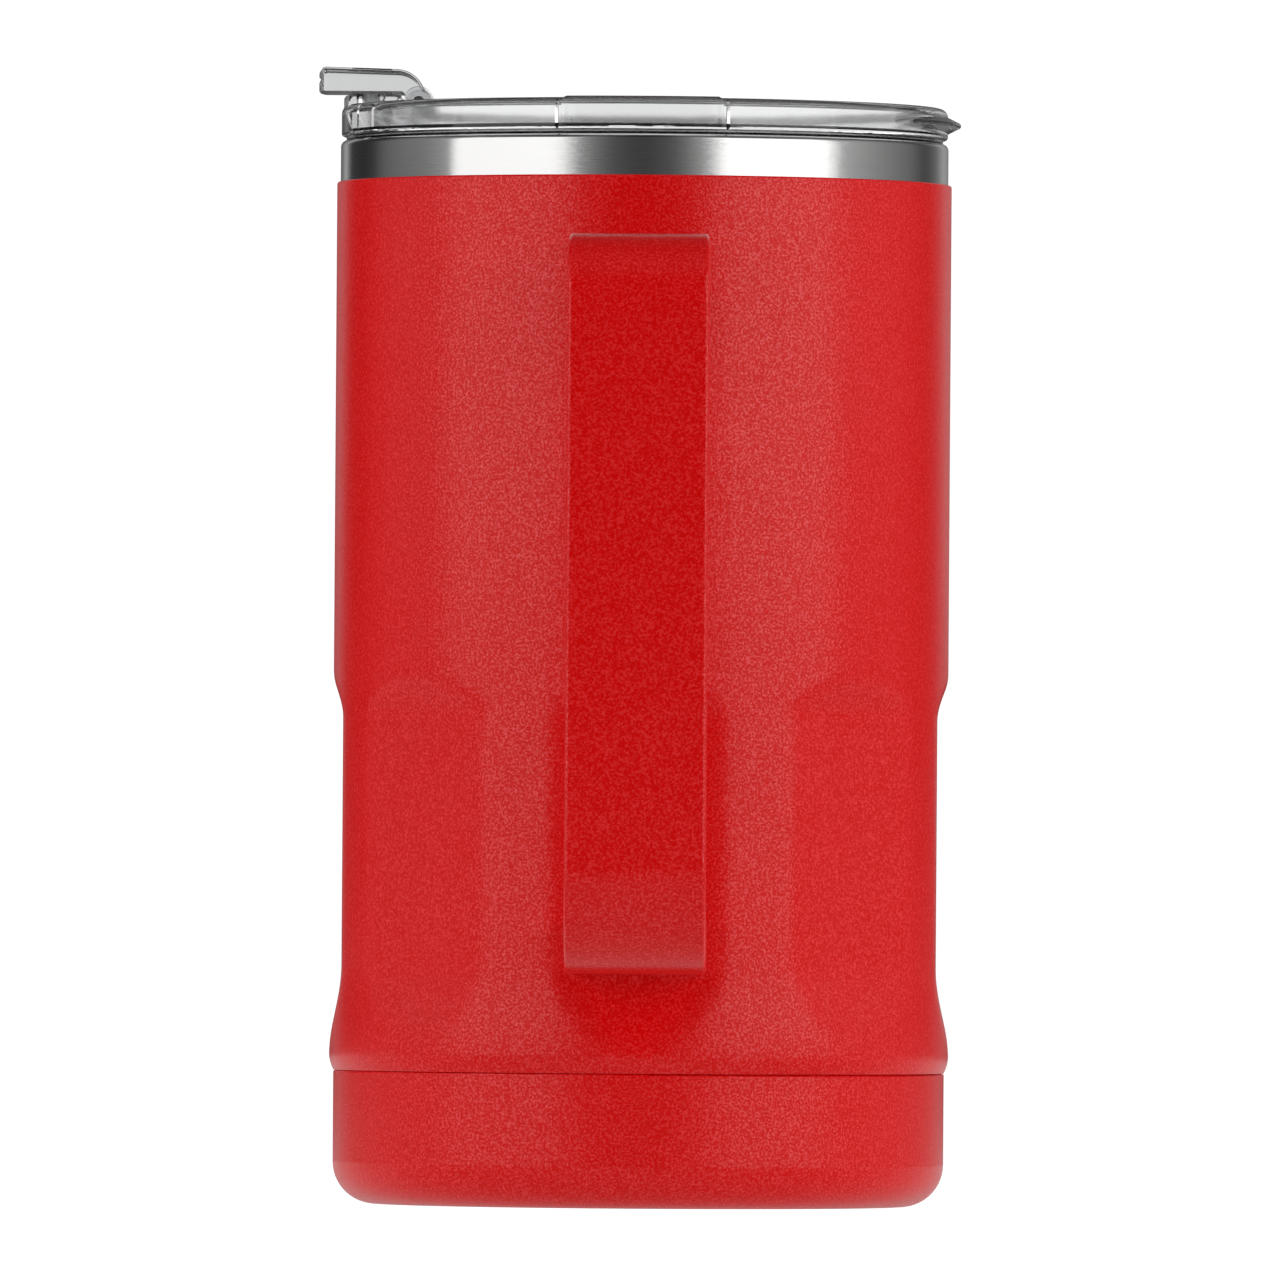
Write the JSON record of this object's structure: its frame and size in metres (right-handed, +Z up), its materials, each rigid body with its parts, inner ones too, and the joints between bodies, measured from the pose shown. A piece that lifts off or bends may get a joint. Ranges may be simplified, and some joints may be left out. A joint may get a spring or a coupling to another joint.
{
  "type": "insulated travel mug",
  "caption": "Double-wall steel travel mug with a welded strap handle, flat grip facets and a clear press-in lid with a flip closure over its spout.",
  "frame": {"origin": "centre of the flat base, on the surface the mug stands on", "axes": "+Z up along the body's axis; handle on -Y, spout and flip closure on -X, thumb tab on +X"},
  "size_m": [0.093, 0.1313, 0.1642],
  "materials": {
    "red_coat": "fine-textured red powder coat on stainless steel",
    "steel": "brushed round the axis",
    "copper_foil": "thin copper foil",
    "solder_glass": "dull solder glass",
    "getter_metal": "pressed powder pill",
    "dark_silicone": "matt",
    "clear_plastic": "clear hard plastic with a light smoke tint",
    "clear_silicone": "translucent"
  },
  "bodies": {
    "mug": {"outer_shell": "red_coat", "inner_liner": "steel", "liner_base": "steel", "heat_foil": "copper_foil", "jacket_base": "steel", "vacuum_seal": "solder_glass", "getter": "getter_metal", "getter_clip": "steel", "base_cup": "red_coat", "foot_pad": "dark_silicone", "handle_outer": "red_coat", "handle_inner": "red_coat", "handle_foot_upper": "steel", "handle_foot_lower": "steel"},
    "lid": {"lid_cover": "clear_plastic", "lid_plug": "clear_plastic", "lid_gasket": "clear_silicone", "hinge_pin": "steel"},
    "closure": {"flip_closure": "clear_plastic", "sip_stopper": "clear_silicone"}
  },
  "joints": [
    {"name": "lid_lift", "type": "slide", "parent": "mug", "child": "lid", "axis": [0, 0, 1], "range_m": [0, 0.06]},
    {"name": "closure_flip", "type": "hinge", "parent": "lid", "child": "closure", "pos_m": [-0.0326, 0, 0.1592], "axis": [0, 1, 0], "range_deg": [0, 150]}
  ]
}
